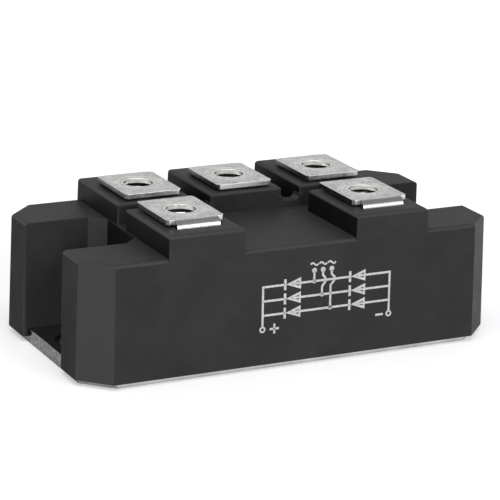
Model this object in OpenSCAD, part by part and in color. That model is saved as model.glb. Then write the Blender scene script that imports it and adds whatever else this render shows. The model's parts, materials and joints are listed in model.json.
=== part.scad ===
// Three-phase bridge rectifier module.
// A moulded housing stands on a metal base plate. Five folded screw terminals lie over captive nuts on
// raised blocks: three inputs along the back, plus and minus along the front. Inside, six diode chips on
// a copper-faced ceramic are joined by clips and covered with gel.
// X runs along the module, -Y is the front, Z is up. The origin is the centre of the underside.

/* [Housing] */
// Length of the housing
body_l = 94; // [88:1:108]
// Width of the housing
body_w = 48.5; // [46:0.5:60]
// Height of the shoulders, the pocket floor and the slot rims above the underside
shoulder_z = 25.7; // [25:0.1:32]
// Rise of the terminal blocks above the shoulders
block_rise = 4.7; // [3.5:0.1:8]
// Height of the housing's lower edge above the underside
skirt_gap = 1.2; // [0.6:0.1:2]
// Cut at each corner, measured along either side
corner_cut = 5.9; // [4:0.1:8]
// Mould draft of the outer walls, in degrees
wall_draft = 1.3; // [0.5:0.1:2]
// Mould draft of the walls in slots and pockets, in degrees
inner_draft = 1; // [0.5:0.1:1.5]
// Radius along the top edges
edge_r = 0.8; // [0.4:0.1:1.1]
// Radius of the blocks' upright corners
block_corner_r = 0.7; // [0.4:0.1:1.2]
// Wall between the inner cavity and the outside
wall_t = 2.5; // [2:0.1:3]
// Roof over the inner cavity, under the screw wells
roof_t = 3; // [2:0.1:4]

/* [End slots] */
// Width of the slot for the fixing screw
slot_w = 20.3; // [18:0.1:23]
// Cut across the slot's inner corners
slot_corner = 3.1; // [1:0.1:5]
// Radius of the slot's lips at the end of the housing
slot_lip_r = 1; // [0.5:0.1:2]

/* [Terminal blocks] */
// Distance between neighbouring terminals
terminal_pitch = 21; // [20:0.1:22]
// Distance of a terminal's leg inside the side of the housing
leg_inset = 4.7; // [4.2:0.1:5.5]
// Length of each block along the module
block_w = 16.9; // [16:0.1:17.2]
// Groove between the front and back rows
row_gap = 3.8; // [2:0.1:4]
// Height of the webs between the back blocks
web_rise = 1.5; // [0.6:0.1:2.5]
// Thickness of the webs
web_t = 2.5; // [1.5:0.1:2.8]
// Wall left in front of the barrier slots, and behind them
barrier_wall = 3; // [3:0.1:4]
// Depth of the barrier slots below the shoulders
barrier_depth = 5; // [2:0.1:5.5]
// Width of the barrier slots
barrier_w = 3.6; // [2.5:0.1:3.8]
// Radius in the corners of the notches between the back blocks
notch_r = 1.2; // [0.5:0.1:1.8]

/* [Screw terminals] */
// Length of a terminal's top plate along the module
tab_w = 12.7; // [11:0.1:13.5]
// Distance of the top plate's free edge behind the edge of its block
tab_setback = 0.7; // [0.3:0.1:1.2]
// Reach of the top plate from the hole's centre to its bend
tab_outer = 7.3; // [7:0.1:7.5]
// Width of the terminal's neck, past the bend
neck_w = 9.5; // [8:0.1:10.5]
// Width of the terminal's leg, inside the housing
leg_w = 6; // [4:0.1:7]
// Length of the terminal's soldered foot
foot_l = 4; // [3:0.1:4.3]
// Thickness of the terminal sheet
sheet_t = 1; // [0.8:0.1:1.2]
// Inner radius of the terminal's bend
bend_r = 0.6; // [0.3:0.1:0.8]
// Diameter of the screw hole in the terminal
tab_hole_d = 6.5; // [6.2:0.1:7]
// Cut on the free corners of the top plate
tab_corner = 0.5; // [0.2:0.1:1]
// Gap between the top plate and its block
tab_gap = 0.5; // [0.2:0.1:0.8]

/* [Captive nuts] */
// Distance across the nut's flats
nut_flats = 10; // [9.8:0.1:10.4]
// Height of the nut
nut_h = 5; // [4:0.1:5.5]
// Diameter of the nut's threaded hole
nut_bore_d = 5; // [4.8:0.05:5.3]
// Depth of the nut's face below the top of its block
nut_sink = 0.2; // [0:0.1:0.5]
// Clearance between a nut's flat and its pocket
nut_clear = 0.1; // [0.05:0.05:0.2]
// Diameter of the well for the screw's end
well_d = 7; // [6.6:0.1:8]
// Depth of the well under the nut
well_depth = 4.5; // [3:0.1:5]

/* [Base plate] */
// Thickness of the base plate
plate_t = 3; // [2.5:0.1:4]
// Distance of the base plate's edge inside the housing's edge
plate_inset = 1.2; // [0.6:0.1:1.6]
// Distance of each fixing hole from the end of the housing
fixing_inset = 7; // [6:0.5:9]
// Diameter of the fixing holes
fixing_d = 6.5; // [5.5:0.1:7]
// Bevel round the mouth of each fixing hole
fixing_bevel = 0.4; // [0.2:0.1:0.6]

/* [Substrate] */
// Gap between the ceramic and the walls round it
ceramic_clear = 1; // [0.5:0.1:1.5]
// Thickness of the ceramic
ceramic_t = 0.6; // [0.4:0.05:1]
// Thickness of the copper on either face of the ceramic
copper_t = 0.3; // [0.2:0.05:0.5]
// Bare margin of the ceramic round its copper
copper_margin = 0.8; // [0.5:0.1:1.2]
// Gap between neighbouring tracks
track_gap = 1.2; // [0.8:0.1:1.5]
// Width of the plus track, front to back
plus_track_w = 10.5; // [10:0.1:11]
// Width of the minus track, front to back
minus_track_w = 4.5; // [4:0.1:5]

/* [Chips and clips] */
// Side of a diode chip
chip_w = 5.2; // [4.5:0.1:5.4]
// Thickness of a diode chip
chip_t = 0.4; // [0.25:0.05:0.6]
// Distance of a chip inside the edge of its track
chip_edge = 0.4; // [0.2:0.1:0.6]
// Width of a clip
clip_w = 3.6; // [2.5:0.1:4]
// Thickness of a clip
clip_t = 0.6; // [0.4:0.1:0.8]
// Length of a clip's soldered feet
clip_foot = 2.6; // [2:0.1:3]
// Height of a clip's arch above the tracks
clip_rise = 4; // [3:0.1:5]
// Depth of the gel over the base plate
gel_h = 7.5; // [6.5:0.1:9]

/* [Hidden] */
$fn = 48;
// A small overrun for cuts, so that no face is left in the plane of a cut
over = 1;

// Places along the module, counted in terminal pitches, and the row: -1 is the front, 1 is the back
PLUS = [-1, -1];
MINUS = [1, -1];
AC = [[-1, 1], [0, 1], [1, 1]];
TERMINALS = concat([PLUS, MINUS], AC);

block_z = shoulder_z + block_rise;
tab_z = block_z + tab_gap;
pocket_depth = nut_sink + nut_h;
well_z = block_z - pocket_depth - well_depth;
cavity_top = well_z - roof_t;
// The slots end in the plane of the outer blocks' walls
slot_end_x = terminal_pitch + block_w / 2;
slot_depth = body_l / 2 - slot_end_x;
cavity_l = 2 * (slot_end_x - wall_t);
cavity_w = body_w - 2 * wall_t;
cavity_r = 2;
barrier_r = 0.8;

// Rows of terminals, set in from the sides of the housing by their legs
leg_y = body_w / 2 - leg_inset - sheet_t;
row_y = leg_y - bend_r - tab_outer;
tab_inner = row_y - row_gap / 2 - tab_setback;

// Levels inside, from the base plate up
ceramic_z = plate_t + copper_t;
track_z = ceramic_z + ceramic_t;
solder_z = track_z + copper_t;
chip_top_z = solder_z + chip_t;

// Sheets and lines inside, from the front to the back
ceramic_l = cavity_l - 2 * ceramic_clear;
ceramic_w = cavity_w - 2 * ceramic_clear;
copper_l = ceramic_l - 2 * copper_margin;
copper_w = ceramic_w - 2 * copper_margin;
plus_front_y = -copper_w / 2;
plus_back_y = plus_front_y + plus_track_w;
minus_front_y = plus_back_y + track_gap;
minus_back_y = minus_front_y + minus_track_w;
ac_front_y = minus_back_y + track_gap;
upper_chip_y = plus_back_y - chip_w / 2 - chip_edge;
lower_chip_y = ac_front_y + chip_w / 2 + chip_edge;
minus_pad_x = terminal_pitch - leg_w / 2 - chip_edge;
pair_pitch = copper_l / 3;

// ---- Shared shapes ----

// Rectangle centred on the origin with round corners
module round_rect(l, w, r) {
    square([l - 2 * r, w], center = true);
    square([l, w - 2 * r], center = true);
    for (x = [-1, 1], y = [-1, 1])
        translate([x * (l / 2 - r), y * (w / 2 - r)])
            circle(r);
}

// Rectangle centred on the origin with its corners cut at 45 degrees
module cut_rect(l, w, cut) {
    polygon([
        [-l / 2 + cut, -w / 2], [l / 2 - cut, -w / 2], [l / 2, -w / 2 + cut], [l / 2, w / 2 - cut],
        [l / 2 - cut, w / 2], [-l / 2 + cut, w / 2], [-l / 2, w / 2 - cut], [-l / 2, -w / 2 + cut]
    ]);
}

// Upright section of a drafted wall pair: half width at z0, leaning in by draft up to z1, with its top
// corners rounded by an arc that meets the wall and the top
module drafted_section(half, z0, z1, draft, r) {
    reach = half - (z1 - z0) * tan(draft);
    // The arc's centre lies r below the top, and r inside the leaning wall
    arc_x = reach + r * tan(draft) - r / cos(draft);
    arc_z = z1 - r;
    foot_x = arc_x + r * cos(draft);
    foot_z = arc_z + r * sin(draft);
    polygon([[-half, z0], [half, z0], [foot_x, foot_z], [arc_x, z1], [-arc_x, z1], [-foot_x, foot_z]]);
    for (side = [-1, 1])
        translate([side * arc_x, arc_z])
            circle(r);
}

// A drafted section drawn out along the line that lies at an angle to Y
module drafted_slab(half, z0, z1, draft, r, angle, reach) {
    rotate([0, 0, angle])
        rotate([90, 0, 0])
            linear_extrude(reach, center = true)
                drafted_section(half, z0, z1, draft, r);
}

// Terminal blocks' place in plan
function terminal_xy(t) = [t[0] * terminal_pitch, t[1] * row_y];

module at_terminal(t) {
    translate(terminal_xy(t))
        // The outer side of each row faces +Y
        rotate([0, 0, t[1] > 0 ? 0 : 180])
            children();
}

// ---- Housing ----

// Outer form of the housing up to a height: four pairs of drafted walls, one pair across each corner cut
module envelope(top_z) {
    across = (body_l + body_w - 2 * corner_cut) / 2 / sqrt(2);
    reach = body_l + body_w;
    intersection() {
        drafted_slab(body_l / 2, skirt_gap, top_z, wall_draft, edge_r, 0, reach);
        drafted_slab(body_w / 2, skirt_gap, top_z, wall_draft, edge_r, 90, reach);
        drafted_slab(across, skirt_gap, top_z, wall_draft, edge_r, 45, reach);
        drafted_slab(across, skirt_gap, top_z, wall_draft, edge_r, -45, reach);
    }
}

// One terminal block, kept inside the full-height envelope so that its outer face carries on the wall
module block(t) {
    inner_y = row_gap / 2;
    depth = body_w / 2 - inner_y + over;
    root_z = shoulder_z - pocket_depth;
    half = block_w / 2;
    translate([t[0] * terminal_pitch, 0])
        mirror([0, t[1] > 0 ? 0 : 1])
            intersection() {
                drafted_slab(half, root_z, block_z, inner_draft, edge_r, 0, 2 * body_w);
                translate([0, inner_y + depth])
                    drafted_slab(depth, root_z, block_z, inner_draft, edge_r, 90, 2 * body_w);
                translate([0, inner_y + depth, root_z])
                    linear_extrude(block_rise + pocket_depth)
                        round_rect(block_w, 2 * depth, block_corner_r);
            }
}

module blocks() {
    intersection() {
        envelope(block_z);
        union() {
            for (t = TERMINALS)
                block(t);
            at_gaps()
                block_web();
        }
    }
}

// Low web across a gap between two back blocks, with the foot of its notch rounded
module block_web() {
    gap = terminal_pitch - block_w;
    difference() {
        translate([-gap / 2 - over, row_gap / 2, shoulder_z - over])
            cube([gap + 2 * over, web_t, web_rise + notch_r + over]);
        rotate([90, 0, 0])
            linear_extrude(2 * body_w, center = true)
                translate([0, shoulder_z + web_rise + notch_r + over])
                    round_rect(gap, 2 * (notch_r + over), notch_r);
    }
}

// Slot behind a web, which keeps neighbouring inputs apart and takes a barrier plate
module barrier_slot() {
    front_y = row_gap / 2 + barrier_wall;
    back_y = body_w / 2 - barrier_wall;
    translate([0, (front_y + back_y) / 2, shoulder_z - barrier_depth])
        linear_extrude(barrier_depth + over)
            round_rect(barrier_w, back_y - front_y, barrier_r);
}

module at_gaps() {
    for (side = [-1, 1])
        translate([side * terminal_pitch / 2, 0])
            children();
}

// Space for the fixing screw and its tool at one end, cut down through the housing
module end_slot() {
    inner_half = slot_w / 2;
    length = slot_depth + over;
    height = shoulder_z - skirt_gap;
    translate([slot_end_x, 0, skirt_gap - over])
        linear_extrude(height + 2 * over) {
            polygon([
                [0, -inner_half + slot_corner], [slot_corner, -inner_half], [length, -inner_half],
                [length, inner_half], [slot_corner, inner_half], [0, inner_half - slot_corner]
            ]);
            // The lips flare out to the end face in a quarter round
            difference() {
                translate([slot_depth - slot_lip_r, -inner_half - slot_lip_r])
                    square([slot_lip_r + over, slot_w + 2 * slot_lip_r]);
                for (side = [-1, 1])
                    translate([slot_depth - slot_lip_r, side * (inner_half + slot_lip_r)])
                        circle(slot_lip_r);
            }
        }
}

// Recess under the housing that takes the base plate
module plate_recess() {
    translate([0, 0, skirt_gap - over])
        linear_extrude(plate_t - skirt_gap + over)
            plate_outline();
}

module cavity(from_z, to_z) {
    translate([0, 0, from_z])
        linear_extrude(to_z - from_z)
            round_rect(cavity_l, cavity_w, cavity_r);
}

// Everything that one terminal needs in the roof: nut pocket, screw well and the slot for its leg
module terminal_cuts() {
    slot_clear = 0.15;
    translate([0, 0, block_z - pocket_depth])
        nut_prism(nut_flats + 2 * nut_clear, pocket_depth + over);
    translate([0, 0, well_z])
        cylinder(h = well_depth + over, d = well_d);
    translate([-neck_w / 2 - slot_clear, tab_outer + bend_r - slot_clear, cavity_top - over])
        cube([neck_w + 2 * slot_clear, sheet_t + 2 * slot_clear, block_z - cavity_top + 2 * over]);
}

module housing() {
    color([0.09, 0.09, 0.1])
        difference() {
            union() {
                envelope(shoulder_z);
                blocks();
            }
            for (turn = [0, 180])
                rotate([0, 0, turn])
                    end_slot();
            at_gaps()
                barrier_slot();
            plate_recess();
            cavity(plate_t - over, cavity_top);
            for (t = TERMINALS)
                at_terminal(t)
                    terminal_cuts();
        }
}

// ---- Base plate ----

module plate_outline() {
    cut_rect(body_l - 2 * plate_inset, body_w - 2 * plate_inset, corner_cut);
}

module base_plate() {
    color([0.72, 0.72, 0.73])
        difference() {
            linear_extrude(plate_t)
                plate_outline();
            for (side = [-1, 1])
                translate([side * (body_l / 2 - fixing_inset), 0, 0]) {
                    translate([0, 0, -over])
                        cylinder(h = plate_t + 2 * over, d = fixing_d);
                    translate([0, 0, plate_t - fixing_bevel])
                        cylinder(h = 2 * fixing_bevel, d1 = fixing_d, d2 = fixing_d + 4 * fixing_bevel);
                }
        }
}

// ---- Terminals and nuts ----

// Side view of the folded sheet, from the free edge of the top plate to the foot: Y is out, Z is up
module terminal_profile() {
    outer_r = bend_r + sheet_t;
    bend_z = tab_z - bend_r;
    // Top plate
    translate([-tab_inner, tab_z])
        square([tab_inner + tab_outer, sheet_t]);
    // Quarter bend
    translate([tab_outer, bend_z])
        intersection() {
            difference() {
                circle(outer_r);
                circle(bend_r);
            }
            square(outer_r);
        }
    // Leg and foot
    translate([tab_outer + bend_r, solder_z])
        square([sheet_t, bend_z - solder_z]);
    translate([tab_outer + outer_r - foot_l, solder_z])
        square([foot_l, sheet_t]);
}

// Front view of the sheet: the plate's width on top, the neck through the roof, the leg and foot below
module terminal_widths() {
    shoulder = cavity_top - leg_w / 2;
    translate([-leg_w / 2, 0])
        square([leg_w, tab_z]);
    translate([-neck_w / 2, shoulder])
        square([neck_w, tab_z + 2 * sheet_t - shoulder]);
}

module terminal(t) {
    color([0.78, 0.77, 0.74])
        at_terminal(t)
            difference() {
                union() {
                    // The folded strip, as wide as the neck and the leg
                    intersection() {
                        rotate([90, 0, 90])
                            linear_extrude(neck_w, center = true)
                                terminal_profile();
                        rotate([90, 0, 0])
                            linear_extrude(4 * row_y, center = true)
                                terminal_widths();
                    }
                    // The full width of the top plate, up to the bend
                    translate([0, (tab_outer - tab_inner) / 2, tab_z])
                        linear_extrude(sheet_t)
                            cut_rect(tab_w, tab_inner + tab_outer, tab_corner);
                }
                translate([0, 0, tab_z - over])
                    cylinder(h = sheet_t + 2 * over, d = tab_hole_d);
            }
}

module nut_prism(flats, h) {
    // A hexagon's corners lie this far out
    cylinder(h = h, d = flats / cos(30), $fn = 6);
}

module nut(t) {
    bevel = 0.5;
    color([0.7, 0.68, 0.62])
        at_terminal(t)
            translate([0, 0, block_z - pocket_depth])
                difference() {
                    intersection() {
                        nut_prism(nut_flats, nut_h);
                        // The turned bevel across the corners, at both ends
                        nut_bevel(bevel);
                    }
                    translate([0, 0, -over])
                        cylinder(h = nut_h + 2 * over, d = nut_bore_d);
                    for (end = [0, 1])
                        translate([0, 0, end * nut_h])
                            mirror([0, 0, end])
                                translate([0, 0, -bevel])
                                    cylinder(h = 2 * bevel, d1 = nut_bore_d + 4 * bevel, d2 = nut_bore_d);
                }
}

module nut_bevel(bevel) {
    corner_r = nut_flats / cos(30) / 2;
    face_r = nut_flats / 2 - bevel / 4;
    rise = (corner_r - face_r) * tan(30);
    rotate_extrude()
        polygon([
            [0, 0], [face_r, 0], [corner_r, rise], [corner_r, nut_h - rise], [face_r, nut_h], [0, nut_h]
        ]);
}

// ---- Substrate ----

// A flat sheet between two corners
module sheet(from_xy, to_xy, z, t) {
    translate([from_xy[0], from_xy[1], z])
        cube([to_xy[0] - from_xy[0], to_xy[1] - from_xy[1], t]);
}

module substrate_copper() {
    color([0.72, 0.45, 0.3])
        sheet([-copper_l / 2, -copper_w / 2], [copper_l / 2, copper_w / 2], plate_t, copper_t);
}

module substrate_ceramic() {
    color([0.93, 0.93, 0.9])
        sheet([-ceramic_l / 2, -ceramic_w / 2], [ceramic_l / 2, ceramic_w / 2], ceramic_z, ceramic_t);
}

module track_plus() {
    color([0.78, 0.48, 0.32])
        sheet([-copper_l / 2, plus_front_y], [minus_pad_x - track_gap, plus_back_y], track_z, copper_t);
}

// The minus track runs behind the plus track, and comes forward to a pad under the minus terminal
module track_minus() {
    color([0.78, 0.48, 0.32]) {
        sheet([-copper_l / 2, minus_front_y], [copper_l / 2, minus_back_y], track_z, copper_t);
        sheet([minus_pad_x, plus_front_y], [copper_l / 2, minus_back_y], track_z, copper_t);
    }
}

module track_ac(i) {
    // The outer tracks reach the edge of the copper, the middle one lies between them
    from_x = i == 1 ? -copper_l / 2 : (i - 2) * pair_pitch - (pair_pitch - track_gap) / 2;
    to_x = i == 3 ? copper_l / 2 : (i - 2) * pair_pitch + (pair_pitch - track_gap) / 2;
    color([0.78, 0.48, 0.32])
        sheet([from_x, ac_front_y], [to_x, copper_w / 2], track_z, copper_t);
}

// ---- Chips and clips ----

// Upper chips lie on the plus track, lower chips on their own input track
function upper_x(i) = (i - 2.25) * pair_pitch;
function lower_x(i) = (i - 1.75) * pair_pitch;

module chip(x, y) {
    color([0.35, 0.36, 0.4])
        translate([x - chip_w / 2, y - chip_w / 2, solder_z])
            cube([chip_w, chip_w, chip_t]);
}

// An arched copper strip from a chip's top, at chip_y, to a track, at pad_y
module clip(x, chip_y, pad_y) {
    dir = sign(pad_y - chip_y);
    top_z = solder_z + clip_rise;
    inner = clip_foot / 2;
    color([0.8, 0.5, 0.33])
        translate([x, 0])
            rotate([90, 0, 90])
                linear_extrude(clip_w, center = true)
                    polygon([
                        [chip_y - dir * inner, chip_top_z],
                        [chip_y + dir * (inner + clip_t), chip_top_z],
                        [chip_y + dir * (inner + clip_t), top_z - clip_t],
                        [pad_y - dir * (inner + clip_t), top_z - clip_t],
                        [pad_y - dir * (inner + clip_t), solder_z],
                        [pad_y + dir * inner, solder_z],
                        [pad_y + dir * inner, solder_z + clip_t],
                        [pad_y - dir * inner, solder_z + clip_t],
                        [pad_y - dir * inner, top_z],
                        [chip_y + dir * inner, top_z],
                        [chip_y + dir * inner, chip_top_z + clip_t],
                        [chip_y - dir * inner, chip_top_z + clip_t]
                    ]);
}

module clip_plus(i) {
    clip(upper_x(i), upper_chip_y, ac_front_y + clip_foot);
}

module clip_minus(i) {
    clip(lower_x(i), lower_chip_y, (minus_front_y + minus_back_y) / 2);
}

// ---- Gel ----

module inner_parts() {
    substrate_copper();
    substrate_ceramic();
    track_plus();
    track_minus();
    for (i = [1:3]) {
        track_ac(i);
        chip(upper_x(i), upper_chip_y);
        chip(lower_x(i), lower_chip_y);
        clip_plus(i);
        clip_minus(i);
    }
    for (t = TERMINALS)
        terminal(t);
}

module gel_fill() {
    color([0.85, 0.86, 0.84, 0.5])
        difference() {
            cavity(plate_t, plate_t + gel_h);
            inner_parts();
        }
}

// ---- Nodes ----

housing();
base_plate();
terminal(PLUS);  // terminal_plus
terminal(MINUS);  // terminal_minus
nut(PLUS);  // nut_plus
nut(MINUS);  // nut_minus
substrate_copper();
substrate_ceramic();
track_plus();
track_minus();
for (i = [1:3]) {
    terminal(AC[i - 1]);
    nut(AC[i - 1]);
    track_ac(i);
    chip(upper_x(i), upper_chip_y);
    chip(lower_x(i), lower_chip_y);
    clip_plus(i);
    clip_minus(i);
}
gel_fill();
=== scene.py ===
import json
import math

import bmesh
import bpy
from mathutils import Matrix, Vector


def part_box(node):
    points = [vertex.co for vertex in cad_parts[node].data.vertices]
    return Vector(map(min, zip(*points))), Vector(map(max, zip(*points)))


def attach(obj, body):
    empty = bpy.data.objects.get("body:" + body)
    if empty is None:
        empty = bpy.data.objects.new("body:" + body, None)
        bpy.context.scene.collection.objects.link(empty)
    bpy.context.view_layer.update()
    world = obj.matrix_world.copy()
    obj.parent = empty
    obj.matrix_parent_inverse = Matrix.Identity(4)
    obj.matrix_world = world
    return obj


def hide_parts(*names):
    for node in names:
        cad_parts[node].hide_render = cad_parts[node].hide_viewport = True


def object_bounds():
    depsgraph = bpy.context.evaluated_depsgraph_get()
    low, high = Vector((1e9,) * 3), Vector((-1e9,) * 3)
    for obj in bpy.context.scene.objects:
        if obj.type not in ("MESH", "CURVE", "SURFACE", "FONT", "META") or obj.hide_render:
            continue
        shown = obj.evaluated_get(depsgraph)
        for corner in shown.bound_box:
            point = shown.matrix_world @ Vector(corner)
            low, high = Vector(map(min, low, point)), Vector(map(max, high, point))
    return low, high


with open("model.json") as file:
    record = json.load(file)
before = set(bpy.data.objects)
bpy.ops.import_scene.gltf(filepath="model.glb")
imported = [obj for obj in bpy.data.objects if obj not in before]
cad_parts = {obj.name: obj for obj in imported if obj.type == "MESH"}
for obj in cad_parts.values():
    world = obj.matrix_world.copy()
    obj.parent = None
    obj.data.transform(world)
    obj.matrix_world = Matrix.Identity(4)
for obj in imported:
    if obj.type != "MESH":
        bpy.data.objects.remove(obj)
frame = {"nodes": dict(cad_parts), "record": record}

MM = 0.001
CAD_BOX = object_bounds()
POLES = ("plus", "minus", "ac_1", "ac_2", "ac_3")
FIXINGS = next(m["dims"] for m in frame["record"]["mounts"] if m["name"] == "fixing_holes")


def middle(node_name):
    """The middle of a CAD node in plan."""
    low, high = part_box(node_name)
    return (low[0] + high[0]) / 2, (low[1] + high[1]) / 2


# ---- Shader nodes ----

class Shader:
    """A procedural material: object coordinates in metres, and a Principled surface."""

    def __init__(self, name, **sockets):
        self.material = bpy.data.materials.new(name)
        self.material.use_nodes = True
        self.tree = self.material.node_tree
        self.surface = self.tree.nodes["Principled BSDF"]
        self.place = self.add("ShaderNodeTexCoord").outputs["Object"]
        for socket, value in sockets.items():
            self.surface.inputs[socket.replace("_", " ")].default_value = value

    def add(self, kind, **settings):
        node = self.tree.nodes.new(kind)
        for name, value in settings.items():
            setattr(node, name, value)
        return node

    def link(self, output, socket):
        self.tree.links.new(output, socket)

    def stretch(self, x, y, z):
        """Object coordinates, stretched along each axis."""
        node = self.add("ShaderNodeMapping")
        node.inputs["Scale"].default_value = (x, y, z)
        self.link(self.place, node.inputs["Vector"])
        return node.outputs["Vector"]

    def noise(self, size, detail=2.0, rough=0.5, place=None):
        """Noise from 0 to 1 whose blotches are about size metres across."""
        node = self.add("ShaderNodeTexNoise")
        node.inputs["Scale"].default_value = 1 / size
        node.inputs["Detail"].default_value = detail
        node.inputs["Roughness"].default_value = rough
        self.link(place or self.place, node.inputs["Vector"])
        return node.outputs["Fac"]

    def spread(self, value, low, high, to_low, to_high):
        """value, remapped from low..high to to_low..to_high and clamped."""
        node = self.add("ShaderNodeMapRange")
        for name, number in (("From Min", low), ("From Max", high), ("To Min", to_low), ("To Max", to_high)):
            node.inputs[name].default_value = number
        self.link(value, node.inputs["Value"])
        return node.outputs["Result"]

    def mix(self, factor, first, second):
        """Colour between two colours, or between a node's colour and one more."""
        node = self.add("ShaderNodeMix", data_type="RGBA")
        self.link(factor, node.inputs["Factor"])
        for socket, colour in ((node.inputs[6], first), (node.inputs[7], second)):
            if isinstance(colour, tuple):
                socket.default_value = (*colour, 1)
            else:
                self.link(colour, socket)
        return node.outputs[2]

    def sum(self, first, second, share=0.5):
        node = self.add("ShaderNodeMath", operation="MULTIPLY_ADD")
        self.link(second, node.inputs[0])
        node.inputs[1].default_value = share
        self.link(first, node.inputs[2])
        return node.outputs[0]

    def combine(self, operation, first, second):
        node = self.add("ShaderNodeMath", operation=operation)
        self.link(first, node.inputs[0])
        self.link(second, node.inputs[1])
        return node.outputs[0]

    def product(self, first, second):
        return self.combine("MULTIPLY", first, second)

    def inverse(self, value):
        """1 minus a value between 0 and 1."""
        return self.spread(value, 0, 1, 1, 0)

    def from_axes(self, places):
        """Distance in plan from the nearest of the upright axes at the given x, y places."""
        nearest = None
        for x, y in places:
            offset = self.add("ShaderNodeVectorMath", operation="SUBTRACT")
            self.link(self.stretch(1, 1, 0), offset.inputs[0])
            offset.inputs[1].default_value = (x, y, 0)
            length = self.add("ShaderNodeVectorMath", operation="LENGTH")
            self.link(offset.outputs["Vector"], length.inputs[0])
            here = length.outputs["Value"]
            nearest = self.combine("MINIMUM", nearest, here) if nearest else here
        return nearest

    def round_edges(self, radius):
        """Shade the edges as if rounded, and return how near an outer edge is, from 0 to 1."""
        bevel = self.add("ShaderNodeBevel", samples=8)
        bevel.inputs["Radius"].default_value = radius
        self.link(bevel.outputs["Normal"], self.surface.inputs["Normal"])
        turn = self.add("ShaderNodeVectorMath", operation="DOT_PRODUCT")
        self.link(bevel.outputs["Normal"], turn.inputs[0])
        self.link(self.add("ShaderNodeNewGeometry").outputs["Normal"], turn.inputs[1])
        bent = self.spread(turn.outputs["Value"], 0.85, 0.99, 1, 0)
        return self.product(bent, self.open_air(3 * radius))

    def open_air(self, reach):
        """1 on an outer edge, which stands in the open, down to 0 in an inner corner."""
        room = self.add("ShaderNodeAmbientOcclusion", samples=8, only_local=True)
        room.inputs["Distance"].default_value = reach
        return self.spread(room.outputs["AO"], 0.75, 0.95, 0, 1)

    def facing(self, axis, low, high):
        """From 0 to 1 as the surface turns to face along an axis, either way."""
        parts = self.add("ShaderNodeSeparateXYZ")
        self.link(self.add("ShaderNodeNewGeometry").outputs["Normal"], parts.inputs[0])
        size = self.add("ShaderNodeMath", operation="ABSOLUTE")
        self.link(parts.outputs[axis], size.inputs[0])
        return self.spread(size.outputs[0], low, high, 0, 1)

    def slanted(self, axis, start, full, fade, end):
        """1 where the surface slants to an axis, and 0 where it lies along it or faces it."""
        return self.product(self.facing(axis, start, full), self.inverse(self.facing(axis, fade, end)))

    def bump(self, height, strength, depth):
        """Bump of the given depth, in metres, added to any bump already there."""
        node = self.add("ShaderNodeBump")
        node.inputs["Strength"].default_value = strength
        node.inputs["Distance"].default_value = depth
        self.link(height, node.inputs["Height"])
        if self.surface.inputs["Normal"].links:
            self.link(self.surface.inputs["Normal"].links[0].from_socket, node.inputs["Normal"])
        self.link(node.outputs["Normal"], self.surface.inputs["Normal"])

    def set(self, socket, output):
        self.link(output, self.surface.inputs[socket])


# ---- Materials ----

def moulded_plastic():
    """Black glass-filled plastic: fine grain, faint flow clouds, painted shade on the ends, painted light on
    the corner cuts, and edges rubbed smooth with a painted highlight.
    """
    s = Shader("moulded_plastic", IOR=1.15)
    edge = s.round_edges(0.3 * MM)
    clouds = s.noise(7 * MM, 4, 0.6)
    grain = s.noise(0.2 * MM, 2, 0.6)
    tone = s.mix(s.spread(clouds, 0.3, 0.7, 0, 1), (0.029, 0.029, 0.0295), (0.038, 0.038, 0.0385))
    # Painted shade: the ends, which face along X, are painted darker. Painted light: the corner cuts, which
    # face half along X and half along Y, are painted lighter
    tone = s.mix(s.facing("X", 0.9, 0.97), tone, (0.006, 0.006, 0.0065))
    corner = s.product(s.facing("X", 0.4, 0.6), s.facing("Y", 0.4, 0.6))
    tone = s.mix(corner, tone, (0.052, 0.052, 0.0525))
    # The roundings along the top lie between level and upright; with the outer edges they get a painted
    # highlight
    rounding = s.product(s.slanted("Z", 0.1, 0.35, 0.8, 0.98), s.open_air(2 * MM))
    # Painted highlight: the outer edges and top roundings are painted a lighter colour, and are also made a
    # little smoother
    wear_and_painted_highlight = s.combine("MAXIMUM", rounding, edge)
    s.set("Base Color", s.mix(wear_and_painted_highlight, tone, (0.052, 0.052, 0.053)))
    rough = s.spread(s.sum(clouds, grain, 0.6), 0.5, 1.1, 0.45, 0.6)
    s.set("Roughness", s.sum(rough, wear_and_painted_highlight, -0.15))
    s.bump(grain, 0.35, 0.02 * MM)
    s.bump(s.noise(14 * MM, 1), 0.4, 0.1 * MM)
    return s.material


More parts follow.
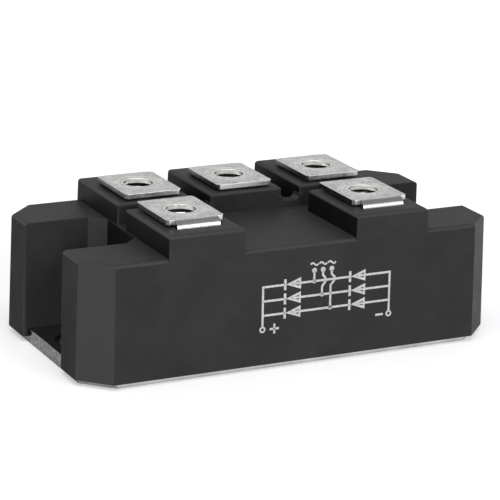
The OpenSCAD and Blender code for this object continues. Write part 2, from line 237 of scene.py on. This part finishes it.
def plated_sheet():
    """Matt plated sheet: mottled and rubbed round the screw holes, with painted shade on the folds and the
    sides along X, and painted highlights on the ends along Y and in the holes.
    """
    s = Shader("plated_sheet", Metallic=1.0)
    s.round_edges(0.12 * MM)
    stains = s.noise(2.5 * MM, 4, 0.65)
    mottle = s.noise(0.7 * MM, 4, 0.7)
    rolled = s.noise(0.3 * MM, 3, 0.6, s.stretch(1, 0.12, 1))
    tone = s.sum(mottle, stains, 0.7)
    face = s.mix(s.spread(tone, 0.68, 1.05, 0, 1), (0.26, 0.26, 0.256), (0.55, 0.55, 0.54))
    # Washers have rubbed a ring bright round each screw hole
    away = s.from_axes(middle(f"nut_{pole}") for pole in POLES)
    ring = s.product(
        s.spread(away, 3.9 * MM, 4.2 * MM, 0, 0.6), s.spread(away, 5.0 * MM, 5.5 * MM, 1, 0))
    face = s.mix(s.product(ring, s.spread(mottle, 0.4, 0.6, 0.2, 1)), face, (0.61, 0.61, 0.6))
    # Painted shade: the folds, which slant towards Y, are painted dark
    face = s.mix(s.slanted("Y", 0.12, 0.3, 0.8, 0.93), face, (0.17, 0.17, 0.168))
    # Painted highlight: faces turned along Y are painted bright. Painted shade: faces turned along X are
    # painted dark
    face = s.mix(s.facing("Y", 0.85, 0.97), face, (0.86, 0.86, 0.85))
    face = s.mix(s.facing("X", 0.5, 0.8), face, (0.09, 0.09, 0.088))
    # Painted highlight: the walls of each screw hole are painted brighter still
    s.set("Base Color", s.mix(s.spread(away, 3.32 * MM, 3.5 * MM, 1, 0), face, (0.88, 0.88, 0.87)))
    s.set("Roughness", s.spread(tone, 0.6, 1.2, 0.24, 0.42))
    s.bump(rolled, 0.3, 0.012 * MM)
    s.bump(mottle, 0.5, 0.03 * MM)
    return s.material


def zinc_steel():
    """Zinc-plated steel for the nuts."""
    s = Shader("zinc_steel", Metallic=1.0)
    spangle = s.noise(0.9 * MM, 4, 0.6)
    s.set("Base Color", s.mix(s.spread(spangle, 0.3, 0.7, 0, 1), (0.72, 0.72, 0.7), (0.88, 0.87, 0.84)))
    s.set("Roughness", s.spread(spangle, 0.3, 0.7, 0.25, 0.42))
    s.bump(s.noise(0.3 * MM, 3), 0.3, 0.02 * MM)
    return s.material


def plated_base():
    """The base plate: nickel over copper, ground flat with fine lines along its length."""
    s = Shader("plated_base", Metallic=1.0)
    s.round_edges(0.2 * MM)
    ground = s.noise(0.16 * MM, 3, 0.6, s.stretch(0.03, 1, 1))
    stains = s.noise(6 * MM, 4, 0.6)
    mottle = s.noise(0.7 * MM, 3, 0.65)
    face = s.mix(s.spread(stains, 0.3, 0.7, 0, 1), (0.4, 0.395, 0.385), (0.56, 0.555, 0.54))
    # Painted shade: the ends, which face along X, are painted dark and mottled
    painted_end_shade = s.mix(s.spread(mottle, 0.38, 0.62, 0, 1), (0.04, 0.04, 0.04), (0.2, 0.2, 0.196))
    tone = s.mix(s.facing("X", 0.6, 0.8), face, painted_end_shade)
    # Painted shade: the walls of the two fixing holes are painted dark
    away = s.from_axes((side * FIXINGS["spacing_x_mm"] / 2 * MM, 0) for side in (-1, 1))
    wall = (FIXINGS["hole_r_mm"] + 0.5) * MM
    s.set("Base Color", s.mix(s.spread(away, wall, wall + 0.1 * MM, 1, 0), tone, (0.14, 0.14, 0.135)))
    s.set("Roughness", s.spread(s.sum(stains, ground, 0.6), 0.5, 1.1, 0.12, 0.24))
    s.bump(ground, 0.3, 0.012 * MM)
    return s.material


def bare_copper():
    s = Shader("bare_copper", Metallic=1.0)
    tarnish = s.noise(3 * MM, 4, 0.6)
    s.set("Base Color", s.mix(s.spread(tarnish, 0.35, 0.7, 0, 1), (0.72, 0.36, 0.22), (0.88, 0.52, 0.36)))
    s.set("Roughness", s.spread(tarnish, 0.3, 0.7, 0.25, 0.45))
    s.bump(s.noise(0.3 * MM, 3), 0.2, 0.02 * MM)
    return s.material


def alumina():
    s = Shader("alumina")
    speck = s.noise(0.4 * MM, 3, 0.6)
    s.set("Base Color", s.mix(s.spread(speck, 0.4, 0.65, 0, 1), (0.84, 0.84, 0.8), (0.92, 0.92, 0.89)))
    s.set("Roughness", s.spread(speck, 0.3, 0.7, 0.45, 0.6))
    s.bump(speck, 0.2, 0.02 * MM)
    return s.material


def silicon():
    s = Shader("silicon")
    film = s.noise(2 * MM, 2)
    s.set("Base Color", s.mix(s.spread(film, 0.3, 0.7, 0, 1), (0.1, 0.11, 0.14), (0.16, 0.17, 0.2)))
    s.set("Roughness", s.spread(film, 0.3, 0.7, 0.12, 0.22))
    s.bump(s.noise(0.5 * MM, 2), 0.1, 0.01 * MM)
    return s.material


def silicone_gel():
    s = Shader("silicone_gel", Transmission_Weight=0.6)
    haze = s.noise(5 * MM, 3)
    s.set("Base Color", s.mix(s.spread(haze, 0.3, 0.7, 0, 1), (0.78, 0.79, 0.77), (0.86, 0.87, 0.85)))
    s.set("Roughness", s.spread(haze, 0.3, 0.7, 0.15, 0.25))
    s.bump(haze, 0.2, 0.1 * MM)
    return s.material


def printing_ink():
    """Pad-printed pale grey ink, a little rubbed and uneven."""
    s = Shader("printing_ink")
    wear_and_painted_highlight = s.noise(0.35 * MM, 3, 0.65)
    s.set("Base Color", s.mix(s.spread(wear_and_painted_highlight, 0.38, 0.62, 0, 1), (0.46, 0.46, 0.46), (0.66, 0.66, 0.66)))
    s.set("Roughness", s.spread(wear_and_painted_highlight, 0.3, 0.7, 0.45, 0.65))
    s.bump(wear_and_painted_highlight, 0.2, 0.01 * MM)
    return s.material


SLOT_MATERIALS = {
    "housing": moulded_plastic(),
    "base_plate": plated_base(),
    "terminal": plated_sheet(),
    "nut": zinc_steel(),
    "copper": bare_copper(),
    "ceramic": alumina(),
    "silicon": silicon(),
    "gel": silicone_gel(),
}


def dress_nodes():
    """Every CAD node takes the material of its slot."""
    for part in frame["record"]["subparts"]:
        node = frame["nodes"][part["node"]]
        material = SLOT_MATERIALS[part["material_slot"]]
        node.data.materials.clear()
        node.data.materials.append(material)


# ---- Pieces made here ----

# Steps round a nut, and up its bore
NUT_STEPS = 72
BORE_STEPS = 72


def new_piece(name, bm, material):
    """A piece with one material, made from a bmesh and riding on the part."""
    mesh = bpy.data.meshes.new(name)
    bm.to_mesh(mesh)
    bm.free()
    piece = bpy.data.objects.new(name, mesh)
    bpy.context.scene.collection.objects.link(piece)
    mesh.materials.append(material)
    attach(piece, "root")
    return piece


def nut_outline(across_flats):
    """Distance from the nut's axis to its outside, for each step round it."""
    radii = []
    for k in range(NUT_STEPS):
        off_flat = (360 * k / NUT_STEPS + 30) % 60 - 30
        radii.append(across_flats / 2 / math.cos(math.radians(off_flat)))
    return radii


def add_ring(bm, radii, heights):
    """One turn of corners round the axis, with a radius and a height for each step."""
    corners = []
    for k, (radius, height) in enumerate(zip(radii, heights)):
        angle = 2 * math.pi * k / NUT_STEPS
        corners.append(bm.verts.new((radius * math.cos(angle), radius * math.sin(angle), height)))
    return corners


def bore_rings(bm, height):
    """The bore, from the bottom up: a rounded helical ridge, cut back by the bevel at each mouth."""
    pitch, crest, root, mouth = 1.0 * MM, 2.48 * MM, 3.02 * MM, 3.1 * MM
    # Shares of half a pitch: the flat along the crest, and the slope down to the root
    crest_share, slope_share = 0.1, 0.75
    rings = []
    for j in range(BORE_STEPS + 1):
        z = height * j / BORE_STEPS
        mouth_r = mouth - min(z, height - z)
        radii = []
        for k in range(NUT_STEPS):
            phase = (z / pitch - k / NUT_STEPS) % 1
            ridge = min(max((abs(2 * phase - 1) - crest_share) / slope_share, 0), 1)
            radii.append(max(crest + (root - crest) * (1 - ridge), mouth_r))
        rings.append(add_ring(bm, radii, [z - height / 2] * NUT_STEPS))
    return rings


def outer_rings(bm, across_flats, height):
    """The outside, from the rim of the top face down: bevel, flats, bevel and the lower rim."""
    outline = nut_outline(across_flats)
    # The turned bevel cuts the corners down to this radius at the faces, at 30 degrees
    face_r = across_flats / 2 - 0.12 * MM
    rim = [min(r, face_r) for r in outline]
    # It meets each flat on a curve that dips towards the corners
    curve = [height / 2 - (r - face_r) * math.tan(math.radians(30)) for r in outline]
    face_z = [height / 2] * NUT_STEPS
    return [
        add_ring(bm, rim, face_z),
        add_ring(bm, outline, curve),
        add_ring(bm, outline, [-z for z in curve]),
        add_ring(bm, rim, [-z for z in face_z]),
    ]


def threaded_nut(node_name):
    """A hexagon nut with a cut M6 thread, in the place of the plain CAD nut."""
    low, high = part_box(node_name)
    height = high[2] - low[2]
    across_flats = min(high[0] - low[0], high[1] - low[1])
    bm = bmesh.new()
    rings = bore_rings(bm, height) + outer_rings(bm, across_flats, height)
    for lower, upper in zip(rings, rings[1:] + rings[:1]):
        for k in range(NUT_STEPS):
            n = (k + 1) % NUT_STEPS
            bm.faces.new((lower[k], upper[k], upper[n], lower[n]))
    bmesh.ops.recalc_face_normals(bm, faces=bm.faces)
    for face in bm.faces:
        face.smooth = True
    for edge in bm.edges:
        edge.smooth = edge.calc_face_angle(0) < math.radians(40)
    bmesh.ops.translate(bm, verts=bm.verts, vec=(Vector(low) + Vector(high)) / 2)
    piece = new_piece(node_name.replace("nut", "threaded_nut"), bm, SLOT_MATERIALS["nut"])
    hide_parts(node_name)


class Print:
    """Flat printed strokes on the front face, laid on the drafted wall a hair proud of it.

    Places and widths are in millimetres: x along the module, z up from the underside.
    """

    THICK = 0.012 * MM
    # Usual width of a line, and length of a diode from its bar
    LINE = 0.46
    DIODE = 3.6

    def __init__(self):
        self.bm = bmesh.new()
        faces = frame["nodes"]["housing"].data.polygons
        wall = max((f for f in faces if f.normal.y < -0.99), key=lambda f: f.area)
        self.normal, self.centre = wall.normal.copy(), wall.center.copy()

    def on_wall(self, x, z, proud):
        """Point over the front wall."""
        x, z = x * MM, z * MM
        n, c = self.normal, self.centre
        y = c.y - (n.x * (x - c.x) + n.z * (z - c.z)) / n.y
        return Vector((x, y, z)) + n * proud

    def corners(self, outline):
        """Corners of an outline in front of the wall, and behind its face."""
        top = [self.bm.verts.new(self.on_wall(*p, self.THICK)) for p in outline]
        back = [self.bm.verts.new(self.on_wall(*p, -self.THICK)) for p in outline]
        return top, back

    def shape(self, outline, hole=None):
        """A printed field inside an outline, or between it and a hole with as many corners."""
        top, back = self.corners(outline)
        count = len(outline)
        if hole is None:
            self.bm.faces.new(top)
            self.bm.faces.new(list(reversed(back)))
        else:
            top_in, back_in = self.corners(hole)
            for k in range(count):
                n = (k + 1) % count
                self.bm.faces.new((top[k], top[n], top_in[n], top_in[k]))
                self.bm.faces.new((back[k], back_in[k], back_in[n], back[n]))
                self.bm.faces.new((top_in[k], top_in[n], back_in[n], back_in[k]))
        for k in range(count):
            n = (k + 1) % count
            self.bm.faces.new((top[n], top[k], back[k], back[n]))

    def stroke(self, points, width):
        """A line of even width through the points, with mitred corners."""
        half = width / 2
        left, right = [], []
        for i, point in enumerate(points):
            here = Vector(point)
            before = (here - Vector(points[i - 1])).normalized() if i else None
            after = (Vector(points[i + 1]) - here).normalized() if i + 1 < len(points) else None
            along = before or after
            if before and after:
                along = (before + after).normalized()
                reach = half / max(along.dot(after), 0.3)
            else:
                reach = half
            side = Vector((-along.y, along.x)) * reach
            left.append(tuple(here + side))
            right.append(tuple(here - side))
        self.shape(left + right[::-1])

    def disc(self, x, z, radius, hole=0.0):
        steps = 32
        ring = [(math.cos(a), math.sin(a)) for a in (2 * math.pi * k / steps for k in range(steps))]
        outer = [(x + radius * c, z + radius * s) for c, s in ring]
        self.shape(outer, [(x + hole * c, z + hole * s) for c, s in ring] if hole else None)

    def diode(self, x, z):
        """A bar at x and, to its right, a hollow triangle that points at it, with the wire through it."""
        half_bar, bar_line = 1.15, 0.55
        self.stroke([(x, z - half_bar), (x, z + half_bar)], bar_line)
        tip, foot, half_foot = x + 0.2, x + self.DIODE, 1.25
        # The hollow keeps a line of even width along the sides and the foot
        from_tip, from_foot, from_side = 1.35, 0.42, 0.72
        outer = [(tip, z), (foot, z - half_foot), (foot, z + half_foot)]
        inner = [(tip + from_tip, z), (foot - from_foot, z - half_foot + from_side),
                 (foot - from_foot, z + half_foot - from_side)]
        self.shape(outer, inner)
        self.stroke([(tip + 1.2, z), (foot - 0.3, z)], 0.42)

    def finish(self):
        bmesh.ops.recalc_face_normals(self.bm, faces=self.bm.faces)
        new_piece("circuit_print", self.bm, printing_ink())


def print_rails(ink, rows, plus_x, minus_x, left_x, right_x):
    """The two rails with their rings and signs, and three lines of two diodes between them."""
    line, half_line, diode = ink.LINE, ink.LINE / 2, ink.DIODE
    ring_z, ring_r, ring_line = 8.7, 0.68, 0.36
    # Each rail overlaps its ring a little, and turns into the top line
    rail_foot = ring_z + ring_r - 0.1
    ink.stroke([(plus_x, rail_foot), (plus_x, rows[0]), (left_x, rows[0])], line)
    ink.stroke([(minus_x, rail_foot), (minus_x, rows[0]), (right_x + diode, rows[0])], line)
    for z in rows:
        if z != rows[0]:
            ink.stroke([(plus_x + half_line, z), (left_x, z)], line)
            ink.stroke([(right_x + diode, z), (minus_x - half_line, z)], line)
        ink.diode(left_x, z)
        ink.diode(right_x, z)
        ink.stroke([(left_x + diode, z), (right_x, z)], line)
    for x in (plus_x, minus_x):
        ink.disc(x, ring_z, ring_r, ring_r - ring_line)
    sign_x, sign_z, half_sign = plus_x + 2.7, ring_z - 0.05, 1.05
    ink.stroke([(sign_x - half_sign, sign_z), (sign_x + half_sign, sign_z)], line)
    ink.stroke([(sign_x, sign_z - half_sign), (sign_x, sign_z + half_sign)], line)
    ink.stroke([(minus_x - 3.1, ring_z), (minus_x - 1.3, ring_z)], line)


def print_inputs(ink, rows):
    """The inputs: each drops from its dot, steps round the rows that it crosses, and ends on its own row."""
    dot_z, dot_r, joint_r = 19.9, 0.55, 0.48
    wave_rise, wave_r, wave_step, wave_line = 1.35, 0.26, 0.15, 0.36
    top = rows[0]
    inputs = [
        (3.05, [(3.05, top)]),
        (5.05, [(5.05, top + 1.1), (5.6, top + 0.4), (5.6, top - 0.4), (4.9, top - 1.3), (4.9, rows[1])]),
        (7.05, [(7.05, top + 1.1), (7.75, top + 0.4), (7.75, top - 0.2), (6.85, top - 1.3), (6.85, rows[2])]),
    ]
    for x, path in inputs:
        ink.disc(x, dot_z, dot_r)
        ink.stroke([(x, dot_z), *path], ink.LINE)
        ink.disc(*path[-1], joint_r)
        # A wave sign over the dot
        wave = [(x + wave_step * (k - 6), dot_z + wave_rise + wave_r * math.sin(math.pi * k / 6))
                for k in range(13)]
        ink.stroke(wave, wave_line)


def print_circuit():
    """The bridge's circuit, printed on the front: two rails, three lines, six diodes and three inputs."""
    ink = Print()
    rows = (17.65, 14.65, 11.65)
    print_rails(ink, rows, plus_x=-8.55, minus_x=20.65, left_x=-3.55, right_x=11.35)
    print_inputs(ink, rows)
    ink.finish()


# ---- Camera, light and floor ----

def look_at(place, aim):
    """A placing for a camera or a lamp, which look down their own Z axis."""
    turn = (Vector(aim) - Vector(place)).to_track_quat("-Z", "Y").to_matrix().to_4x4()
    return Matrix.Translation(place) @ turn


def place_camera():
    """A long lens from the front left, a little above the terminals."""
    azimuth, elevation, roll = (math.radians(a) for a in (-26.73, 16.86, 1.63))
    distance = 0.5113
    low, high = CAD_BOX
    aim = (Vector(low) + Vector(high)) / 2 + Vector((0.446, 0.357, 1.712)) * MM
    away = Vector((math.sin(azimuth) * math.cos(elevation), -math.cos(azimuth) * math.cos(elevation),
                   math.sin(elevation)))
    data = bpy.data.cameras.new("camera")
    data.sensor_width = 36
    data.lens = 174.22
    data.clip_start = 0.01
    camera = bpy.data.objects.new("camera", data)
    bpy.context.scene.collection.objects.link(camera)
    camera.matrix_world = look_at(aim + away * distance, aim) @ Matrix.Rotation(roll, 4, "Z")
    bpy.context.scene.camera = camera


def softbox(name, place, size, power):
    """A rectangular area lamp turned to the middle of the part."""
    data = bpy.data.lights.new(name, "AREA")
    data.shape = "RECTANGLE"
    data.size, data.size_y = size
    data.energy = power
    lamp = bpy.data.objects.new(name, data)
    bpy.context.scene.collection.objects.link(lamp)
    lamp.matrix_world = look_at(place, (0, 0, 0.015))


def seen_directly(tree):
    """1 for the rays that show a background: to the camera, and in metal and glass."""
    rays = tree.nodes.new("ShaderNodeLightPath")
    shown = rays.outputs["Is Camera Ray"]
    for kind in ("Is Glossy Ray", "Is Transmission Ray"):
        more = tree.nodes.new("ShaderNodeMath")
        more.operation = "MAXIMUM"
        tree.links.new(shown, more.inputs[0])
        tree.links.new(rays.outputs[kind], more.inputs[1])
        shown = more.outputs[0]
    return shown


def light_studio():
    softbox("top_softbox", (-0.1, -0.14, 0.52), (0.4, 0.3), 0.95)
    softbox("left_softbox", (-0.38, -0.45, 0.1), (0.25, 0.16), 0.75)
    softbox("front_fill", (0.08, -0.58, 0.3), (0.4, 0.3), 1.3)
    world = bpy.data.worlds.new("studio")
    world.use_nodes = True
    bpy.context.scene.world = world
    nodes, links = world.node_tree.nodes, world.node_tree.links
    room = nodes["Background"]
    room.inputs["Color"].default_value = (1, 1, 1, 1)
    room.inputs["Strength"].default_value = 0.33
    white = nodes.new("ShaderNodeBackground")
    white.inputs["Color"].default_value = (1, 1, 1, 1)
    white.inputs["Strength"].default_value = 1
    either = nodes.new("ShaderNodeMixShader")
    links.new(seen_directly(world.node_tree), either.inputs["Fac"])
    links.new(room.outputs[0], either.inputs[1])
    links.new(white.outputs[0], either.inputs[2])
    links.new(either.outputs[0], nodes["World Output"].inputs["Surface"])


def lay_floor():
    """A white floor that keeps the part's shadow and fades to plain white away from it."""
    bm = bmesh.new()
    bmesh.ops.create_grid(bm, x_segments=1, y_segments=1, size=3)
    mesh = bpy.data.meshes.new("floor")
    bm.to_mesh(mesh)
    bm.free()
    floor = bpy.data.objects.new("floor", mesh)
    bpy.context.scene.collection.objects.link(floor)
    # A hair below the underside, so that the two faces don't fight
    floor.location.z = -0.02 * MM
    s = Shader("floor_white", Base_Color=(0.85, 0.85, 0.85, 1), Roughness=0.6, Emission_Color=(1, 1, 1, 1))
    away = s.add("ShaderNodeVectorMath", operation="LENGTH")
    s.link(s.place, away.inputs[0])
    glow = s.spread(away.outputs["Value"], 0.08, 0.3, 0.42, 1)
    s.set("Emission Strength", s.product(seen_directly(s.tree), glow))
    mesh.materials.append(s.material)


dress_nodes()
for pole in POLES:
    threaded_nut(f"nut_{pole}")
print_circuit()
place_camera()
light_studio()
lay_floor()

scene = bpy.context.scene
scene.view_settings.view_transform = "Standard"
